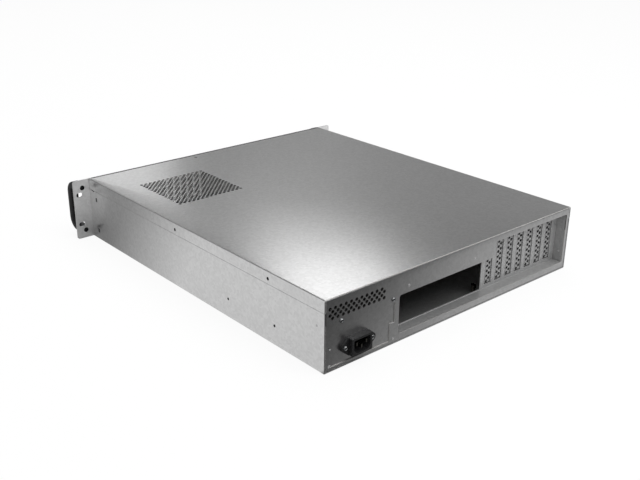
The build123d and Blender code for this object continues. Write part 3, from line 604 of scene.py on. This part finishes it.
# each cross stands turned as the screwdriver left it: across, up and out are the head's own axes
pan_head = {"radius": 2.9, "height": 1.9, "recess": 1.1}
heads = [
    screw_heads(to_rear, across=(-0.8, 0, 0.6), up=(0.6, 0, 0.8), out=(0, 1, 0), **pan_head),
    screw_heads(to_top, across=(0.9, 0.436, 0), up=(-0.436, 0.9, 0), out=(0, 0, 1), **pan_head),
]
screws = piece_from("small_screw_heads", *joined(heads), zinc_plated, "case", "screw")
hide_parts("small_screws")


# Pressed marks: shallow domes that the punch press left in the sheet, and the rounded spots of the
# spot welds that join the panels, on the rear panel, the recess and the side walls.

case_half, mark_height = 216.6, 0.35
side_marks = [(258.2, 53.9), (-92, 26)]
# each row gives places, the way out of the sheet, and the radius
domes = (
    ([(90, rear_y, 67), (-24.3, rear_y, 67.2), (112.7, rear_y, 6.6), (209.2, rear_y, 6.9)], (0, 1, 0), 1.9),
    ([(208.4, rear_y, 27.3), (114.4, rear_y, 27.5)], (0, 1, 0), 1.2),
    ([(-209.8, 263.5, 55), (-209.8, 263.5, 24)], (1, 0, 0), 1.6),
    ([(case_half, y, z) for y, z in side_marks], (1, 0, 0), 1.3),
    ([(-case_half, y, z) for y, z in side_marks], (-1, 0, 0), 1.3),
)
marks = [
    screw_heads(places, (0, 1, 0) if out[0] else (1, 0, 0), (0, 0, 1), out, radius, mark_height, recess=0)
    for places, out, radius in domes
]
piece_from("pressed_marks", *joined(marks), dull_galvanised, "case", "galvanised")


# Front panel: a flat galvanised plate 2 mm thick with the rack ears at its ends, oblong rack
# holes, a row of cooling slots and the cut-outs of the controls. Its sheet scatters more light than
# the tray's, and it is painted paler than the tray's, a painted light that brightens the ears.

# paler tones than the tray's steel: painted light on the front panel and its ears
painted_light_panel_steel = copy_with_tones(galvanised, "galvanised_panel_steel_painted_light", "#d4d4d4", "#dedede")
painted_light_panel_steel.node_tree.nodes["Principled BSDF"].inputs["Metallic"].default_value = 0.75


def oblong(x, z, length, height, radius):
    """Rounded rectangle round a point of a flat sheet."""
    l, h = length / 2, height / 2
    return rounded([(l, h), (-l, h), (-l, -h), (l, -h)], radius) + (x, z)


panel_back, panel_sheet, panel_middle_z = -242.3, 2, 43.6
front_outline = oblong(0, panel_middle_z, length=482.6, height=87.2, radius=3.0)
corner_signs = [(side, rise) for side in (1, -1) for rise in (1, -1)]
rack_x, rack_rise, handle_x, handle_rise = 232.55, 22.225, 227.5, 32
ear_holes = [
    oblong(side * rack_x, panel_middle_z + rise * rack_rise, length=10, height=6.8, radius=3.38)
    for side, rise in corner_signs
]
handle_places = np.array(
    [(side * handle_x, panel_middle_z + rise * handle_rise) for side, rise in corner_signs]
)
screw_seats = round_holes(handle_places, radius=3.6, sides=24)
slot_from, slot_step, slot_count = -200, 12, 25
cooling_slots = [
    oblong(slot_from + slot_step * column, panel_middle_z, length=4, height=52, radius=1.9)
    for column in range(slot_count)
]
# place beside and above the controls' middle, size and corner radius: power button, reset
# button, two lamps, two sockets
control_x = 165.0
controls = (
    (-26, 0, 14.3, 8.3, 0.4),
    (-11, -7, 4.3, 4.3, 0.4),
    (-11, 1, 3, 2, 0.2),
    (-11, 8, 3, 2, 0.2),
    (6, 0, 13.2, 5.8, 0.3),
    (24, 0, 13.2, 5.8, 0.3),
)
cut_outs = [
    oblong(control_x + beside, panel_middle_z + rise, length, height, radius)
    for beside, rise, length, height, radius in controls
]
front_holes = [*ear_holes, *cooling_slots, *cut_outs, *screw_seats]
front_panel = piece_from(
    "front_panel_plate",
    *flat_sheet(front_outline, front_holes, 1, panel_back, panel_back - panel_sheet),
    painted_light_panel_steel, "case", "galvanised",
)
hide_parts("front_panel")


# Bow handles: aluminium bar with rounded edges, bent to a bow and anodised black. Black
# countersunk screws hold them from the back of the ears.

anodised, tree, skin = start_material("black_anodised_aluminium")
skin.inputs["Specular IOR Level"].default_value = 0.3
place = add_node(tree, "TexCoord").outputs["Object"]
# bead-blasted pits are 0.1 mm, drawn at 0.5 mm so that they show
drawn_pits = 0.0005
blasting = add_node(tree, "TexNoise", None, {"Vector": place, "Scale": 1 / drawn_pits, "Detail": 3.0})
anodised_colour = add_node(
    tree, "Mix", {"data_type": "RGBA"}, {0: blasting.outputs[0], 6: linear("#0f0f10"), 7: linear("#1b1b1d")}
)
tree.links.new(anodised_colour.outputs[2], skin.inputs["Base Color"])
anodised_gloss = add_node(
    tree, "MapRange", None, {"Value": blasting.outputs[0], "To Min": 0.3, "To Max": 0.46}
)
tree.links.new(anodised_gloss.outputs[0], skin.inputs["Roughness"])
anodised_bump = add_node(
    tree, "Bump", None, {"Strength": 0.2, "Distance": 0.00003, "Height": blasting.outputs[0]}
)
tree.links.new(anodised_bump.outputs[0], skin.inputs["Normal"])

foot_low, foot_high, foot_y, grip_y = 11.6, 75.6, -244.3, -273.8
bow = folded_line(
    [(foot_y, foot_low), (grip_y, foot_low), (grip_y, foot_high), (foot_y, foot_high)],
    radius=13,
    arc_steps=14,
)


def bar_along(line, x, width, depth, corner):
    """Bar along a bent line: a rounded rectangle of width by depth is set square to the line at
    each of its points, width along X and depth along the line's left normal."""
    _, points, headings, _ = line
    w, d = width / 2, depth / 2
    section = rounded([(w, d), (-w, d), (-w, -d), (w, -d)], corner, arc_steps=5)
    normal = np.column_stack([-np.sin(headings), np.cos(headings)])
    places = points[:, None, :] + section[None, :, 1:] * normal[:, None, :]
    across = np.broadcast_to(x + section[None, :, :1], (*places.shape[:2], 1))
    count = len(section)
    ends = [np.arange(count)[::-1].tolist(), ((len(points) - 1) * count + np.arange(count)).tolist()]
    faces = ring_quads(len(points), count).tolist() + ends
    return np.concatenate([across, places], axis=2).reshape(-1, 3), faces


for side, handle_name in ((1, "handle_inlet_side"), (-1, "handle_card_side")):
    handle = piece_from(
        f"{handle_name}_bow",
        *bar_along(bow, side * handle_x, width=13.4, depth=10, corner=2.6),
        anodised, "case", "black_bar",
    )
    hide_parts(handle_name)

# black zinc plating looks like the anodised bar, with a metal's gloss
black_zinc = anodised.copy()
black_zinc.name = "black_zinc_plated_steel"
black_zinc.node_tree.nodes["Principled BSDF"].inputs["Metallic"].default_value = 0.6
seat_depth = 0.35
seat_places = np.insert(handle_places, 1, panel_back - seat_depth, axis=1)
flat_head = {"radius": 3.5, "height": 0.3, "recess": 1.2}
handle_screws = piece_from(
    "handle_screw_heads",
    *screw_heads(seat_places, across=(0.8, 0, 0.6), up=(-0.6, 0, 0.8), out=(0, 1, 0), **flat_head),
    black_zinc, "case", "black_screw",
)
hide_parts("handle_screws")


# Front controls: grey ABS push buttons, clear lamps and two plated sockets in a black moulded
# housing behind the panel, with a small green circuit board on its back.

# the buttons come from a spark-eroded mould, as the inlet does
grey_abs = copy_with_tones(nylon, "grey_moulded_abs", "#8f9193", "#9c9ea0")

# glossy green lacquer, through which the board's glass cloth shows in patches 2 mm wide
solder_mask, tree, mask = start_material("green_solder_mask")
mask.inputs["Coat Weight"].default_value = 0.6
mask.inputs["Roughness"].default_value = 0.4
place = add_node(tree, "TexCoord").outputs["Object"]
patch_size = 0.002
weave = add_node(tree, "TexNoise", None, {"Vector": place, "Scale": 1 / patch_size})
mask_colour = add_node(
    tree, "Mix", {"data_type": "RGBA"}, {0: weave.outputs[0], 6: linear("#0c4a25"), 7: linear("#156236")}
)
tree.links.new(mask_colour.outputs[2], mask.inputs["Base Color"])

# the lamps' lenses are clear, with a haze from moulding in spots 0.8 mm wide
lens, tree, clear = start_material("clear_polycarbonate")
clear.inputs["IOR"].default_value = 1.58
clear.inputs["Transmission Weight"].default_value = 0.6
place = add_node(tree, "TexCoord").outputs["Object"]
haze_size = 0.0008
haze = add_node(tree, "TexNoise", None, {"Vector": place, "Scale": 1 / haze_size})
lens_colour = add_node(
    tree, "Mix", {"data_type": "RGBA"}, {0: haze.outputs[0], 6: linear("#dfe8e2"), 7: linear("#f0f5f2")}
)
tree.links.new(lens_colour.outputs[2], clear.inputs["Base Color"])
lens_gloss = add_node(tree, "MapRange", None, {"Value": haze.outputs[0], "To Min": 0.1, "To Max": 0.25})
tree.links.new(lens_gloss.outputs[0], clear.inputs["Roughness"])

finish_node("power_button", grey_abs)
finish_node("reset_button", grey_abs)
finish_node("control_housing", nylon)
finish_node("control_board", solder_mask)
finish_node("lamp_lenses", lens)
finish_node("usb_sockets", nickel)


# Inside the case: front rail, fan wall, drive cages and supply bracket, all folded from the
# same galvanised sheet and riveted in, and turned standoffs for the board, of nickel-plated brass.

# the standoffs get the darker grey copy of the nickel too
finish_node("standoffs", dark_grey_nickel)
for name in ("front_rail", "fan_wall", "drive_cage_outer", "drive_cage_inner", "supply_bracket"):
    finish_node(name, dull_galvanised)


# Lid: one galvanised sheet 1 mm thick with a flange folded down each side, held by screws through
# the flanges. Over the power supply it has a square of fine round vent holes on a staggered grid,
# and its front edge is set back along the dark strip.

lid_top, lid_sheet, lid_edge, lid_front = 88.0, 1.0, 72.4, -241.8
lid_line = folded_line(
    [(-case_half, lid_edge), (-case_half, lid_top), (case_half, lid_top), (case_half, lid_edge)],
    radius=1.3,
)
lid_starts, lid_end = lid_line[3], lid_line[0][-1]
# 15 by 15 vent holes, with 14 by 14 more between them
vents_inner, vents_outer, vents_across, vents_middle_y = 75, 174, 15, -117.9
wide = np.linspace(vents_inner, vents_outer, vents_across)
narrow = (wide[1:] + wide[:-1]) / 2
lid_vents = np.concatenate(
    [
        np.stack(np.meshgrid(row, vents_middle_y + row - row.mean()), -1).reshape(-1, 2)
        for row in (wide, narrow)
    ]
)
rail_screw = (43.3, -228.4)
top_holes = round_holes(lid_vents, radius=2.2, sides=14) + round_holes([rail_screw], radius=2.3, sides=16)
top_holes = [hole + (lid_starts[1] + case_half, 0) for hole in top_holes]
flange_screws_y, flange_screws_z = (175.0, -15.1), 78.8
flange_screws_u = lid_starts[0] + flange_screws_z - lid_edge, lid_starts[2] + lid_top - flange_screws_z
side_holes = round_holes([(u, y) for y in flange_screws_y for u in flange_screws_u], radius=2.1, sides=16)
seal_width, seal_inset = 4.4, 2.4
seal_back = panel_back + seal_width
seal_start, seal_end = lid_starts[1] + seal_inset, lid_starts[2] - seal_inset
lid_outline = [
    (0, lid_front), (0, rear_y), (lid_end, rear_y), (lid_end, lid_front),
    (seal_end, lid_front), (seal_end, seal_back), (seal_start, seal_back), (seal_start, lid_front),
]
lid = piece_from(
    "lid_sheet",
    *fold(lid_line, -lid_sheet, lid_outline, top_holes + side_holes, order="avb"),
    galvanised, "lid", "galvanised", edge_material=cut_edge,
)
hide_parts("lid")


# Strip and discs: a dark strip fills the gap between the front panel and the lid. Black nylon
# clips are pressed into the tab slits, and black discs sit behind the lid's screw holes, a painted
# shade that makes those holes look dark.

# the strip in the gap between the front panel and the lid is drawn dark
dark_strip = copy_with_tones(nylon, "dark_gap_strip", "#2c2c2e", "#39393b")
seal_half, seal_top, seal_under = 214, 87.9, 86.9
seal_ring = [
    (-seal_half, panel_back), (seal_half, panel_back), (seal_half, seal_back), (-seal_half, seal_back)
]
piece_from(
    "lid_seal", *flat_sheet(seal_ring, [], 2, seal_top, seal_under), dark_strip, "case", "black_plastic"
)

# a black disc under the lid's screw hole over the front rail: painted shade, so the hole looks dark
rail_ring = round_holes([rail_screw], radius=2.6, sides=16)[0]
rail_top, rail_under = 86.95, 86.2
piece_from(
    "rail_hole_shade_disc", *flat_sheet(rail_ring, [], 2, rail_top, rail_under), nylon, "case", "black_plastic"
)

slits_y, slits_z = -223.5, (13.4, 59.9)
clip_rings = [oblong(slits_y, z, length=4, height=6, radius=0.5) for z in slits_z]
# black discs behind the lid's flange screw holes: painted shade, so the holes look dark
hole_shade_rings = round_holes([(y, flange_screws_z) for y in flange_screws_y], radius=2.3, sides=16)
# each row's last two numbers are its outer and inner face on the inlet side
fittings = (
    ("tab_clips", clip_rings, case_half + 0.05, case_half - 1),
    ("lid_hole_shade_discs", hole_shade_rings, 215.45, 214.6),
)
for fitting_name, rings, outer, inner in fittings:
    for side, side_name in ((1, "inlet_side"), (-1, "card_side")):
        parts = [flat_sheet(ring, [], 0, side * outer, side * inner) for ring in rings]
        piece_from(f"{fitting_name}_{side_name}", *joined(parts), nylon, "case", "black_plastic")


# Floor: a plain white sweep of matt paper under the case, which keeps the case's shadow. To the
# camera it is white, with the shadow on it.

white_sweep, tree, paper = start_material("white_sweep")
paper.inputs["Roughness"].default_value = 0.9
paper.inputs["Specular IOR Level"].default_value = 0.0
paper.inputs["Base Color"].default_value = linear("#efefef")
place = add_node(tree, "TexCoord").outputs["Object"]
seen = add_node(tree, "LightPath")
# mirrored in the case, the sweep is white too, but it carries a painted shadow: it dims behind the
# rear panel, towards the camera, and along the sides, towards the ears
camera_direction, ear_slope, case_rear, just_behind = (0.48, 0.88, 0), 1.15, 0.262, 0.27
towards = add_node(tree, "VectorMath", {"operation": "DOT_PRODUCT"}, {0: place, 1: camera_direction})
painted_rear_shadow = add_node(
    tree, "MapRange", {"interpolation_type": "SMOOTHSTEP"},
    {"Value": towards.outputs["Value"], "From Min": 0.2, "From Max": 0.4, "To Min": 0.54, "To Max": 0.0},
)
spot = add_node(tree, "SeparateXYZ", None, {0: place})
outwards = add_node(tree, "Math", {"operation": "ABSOLUTE"}, {0: spot.outputs["X"]})
past_ears = add_node(
    tree, "Math", {"operation": "MULTIPLY_ADD"}, {0: outwards.outputs[0], 1: ear_slope, 2: spot.outputs["Y"]}
)
# painted shadow along the sides, darkest near the ears
beside = add_node(
    tree, "MapRange", None,
    {"Value": past_ears.outputs[0], "From Min": 0.05, "From Max": 0.24, "To Min": 0.3, "To Max": 1.0},
)
behind = add_node(
    tree, "MapRange", None, {"Value": spot.outputs["Y"], "From Min": case_rear, "From Max": just_behind}
)
mirrored = add_node(tree, "Mix", None, {0: behind.outputs[0], 2: beside.outputs[0], 3: painted_rear_shadow.outputs[0]})
level = add_node(tree, "Mix", None, {0: seen.outputs["Is Camera Ray"], 2: mirrored.outputs[0], 3: 1.0})
white = add_node(tree, "Emission", None, {"Color": (1, 1, 1, 1), "Strength": level.outputs[0]})
either = add_node(
    tree, "Math", {"operation": "ADD"}, {0: seen.outputs["Is Camera Ray"], 1: seen.outputs["Is Glossy Ray"]}
)
# what is left of the paper itself, 8 percent, carries the shadow
own_light = 0.92
share = add_node(tree, "Math", {"operation": "MULTIPLY"}, {0: either.outputs[0], 1: own_light})
both = add_node(tree, "MixShader", None, {0: share.outputs[0], 1: paper.outputs[0], 2: white.outputs[0]})
tree.links.new(both.outputs[0], tree.nodes["Material Output"].inputs["Surface"])
floor_mesh = bpy.data.meshes.new("floor")
reach, floor_z = 14.0, -0.0003
floor_mesh.from_pydata(
    [(-reach, -reach, floor_z), (reach, -reach, floor_z), (reach, reach, floor_z), (-reach, reach, floor_z)],
    [],
    [(0, 1, 2, 3)],
)
floor_mesh.materials.append(white_sweep)
floor = bpy.data.objects.new("floor", floor_mesh)
bpy.context.scene.collection.objects.link(floor)


# Light: a pale room, white to the camera and greyer where the case mirrors it, and four soft
# boxes: one overhead, one behind the case, and two small ones in front of it, whose mirror
# images lie on the lid's rear and front corners on the inlet side.

world = bpy.data.worlds.new("pale_room")
bpy.context.scene.world = world
world.use_nodes = True
tree = world.node_tree
room = tree.nodes["Background"]
place = add_node(tree, "TexCoord").outputs["Generated"]
rise = add_node(tree, "SeparateXYZ", None, {0: place})
# low down, where the lid's front part mirrors it, the room is paler than above
room_level = add_node(
    tree, "MapRange", None,
    {"Value": rise.outputs["Z"], "From Min": 0.27, "From Max": 0.38, "To Min": 0.37, "To Max": 0.215},
)
# the ceiling is brighter, so that the lid is light from above as well
ceiling = add_node(
    tree, "MapRange", None,
    {"Value": rise.outputs["Z"], "From Min": 0.5, "From Max": 0.95, "To Min": 0.0, "To Max": 0.7},
)
both_levels = add_node(tree, "Math", {"operation": "ADD"}, {0: room_level.outputs[0], 1: ceiling.outputs[0]})
tree.links.new(both_levels.outputs[0], room.inputs["Strength"])
room.inputs["Color"].default_value = (1, 1, 1, 1)
white_room = add_node(tree, "Background", None, {"Color": (1, 1, 1, 1), "Strength": 1.0})
seen = add_node(tree, "LightPath")
pick = add_node(
    tree, "MixShader", None,
    {0: seen.outputs["Is Camera Ray"], 1: room.outputs[0], 2: white_room.outputs[0]},
)
tree.links.new(pick.outputs[0], tree.nodes["World Output"].inputs["Surface"])


def soft_box(name, azimuth, elevation, distance, width, height, strength, aim=(0, 0, 0.04), mirrored=True):
    """Area lamp that faces the aim from the given bearing: azimuth 0 stands on -Y, 90 on +X. The
    sheets don't show it where it isn't mirrored."""
    a, e = math.radians(azimuth), math.radians(elevation)
    away = Vector((math.sin(a) * math.cos(e), -math.cos(a) * math.cos(e), math.sin(e)))
    data = bpy.data.lights.new(name, "AREA")
    data.shape, data.size, data.size_y, data.energy = "RECTANGLE", width, height, strength
    lamp = bpy.data.objects.new(name, data)
    lamp.visible_glossy = mirrored
    lamp.location = Vector(aim) + away * distance
    lamp.rotation_mode = "QUATERNION"
    lamp.rotation_quaternion = away.to_track_quat("Z", "Y")
    bpy.context.scene.collection.objects.link(lamp)


soft_box(
    "soft_box_overhead", azimuth=-42, elevation=75, distance=2.2, width=2.4, height=2.4,
    strength=28, mirrored=False,
)
soft_box(
    "soft_box_rear_corner", azimuth=-39.5, elevation=32, distance=3, width=0.6, height=0.44,
    strength=3.05, aim=(0.2, 0.25, 0.088),
)
soft_box(
    "soft_box_behind", azimuth=-165, elevation=50, distance=2.6, width=1.8, height=1.3, strength=27
)
soft_box(
    "soft_box_front_corner", azimuth=-28, elevation=17.5, distance=3, width=0.5, height=0.24,
    strength=1.1, aim=(0.2, -0.23, 0.088),
)


# Camera: stands behind the case, to the side of the power inlet, and looks down on it. Its place
# and lens were fitted to the standard sizes of a rack case.

camera_data = bpy.data.cameras.new("camera")
camera_data.lens, camera_data.sensor_width = 50.196, 36
camera = bpy.data.objects.new("camera", camera_data)
camera.location = (0.76220, 0.88843, 0.49764)
bearing, height, roll = (math.radians(angle) for angle in (138.920, 22.535, 0.462))
back = Vector(
    (math.sin(bearing) * math.cos(height), -math.cos(bearing) * math.cos(height), math.sin(height))
)
camera.rotation_mode = "QUATERNION"
camera.rotation_quaternion = (-back).to_track_quat("-Z", "Y") @ Quaternion((0, 0, 1), roll)
bpy.context.scene.collection.objects.link(camera)
bpy.context.scene.camera = camera
bpy.context.scene.view_settings.view_transform = "Standard"
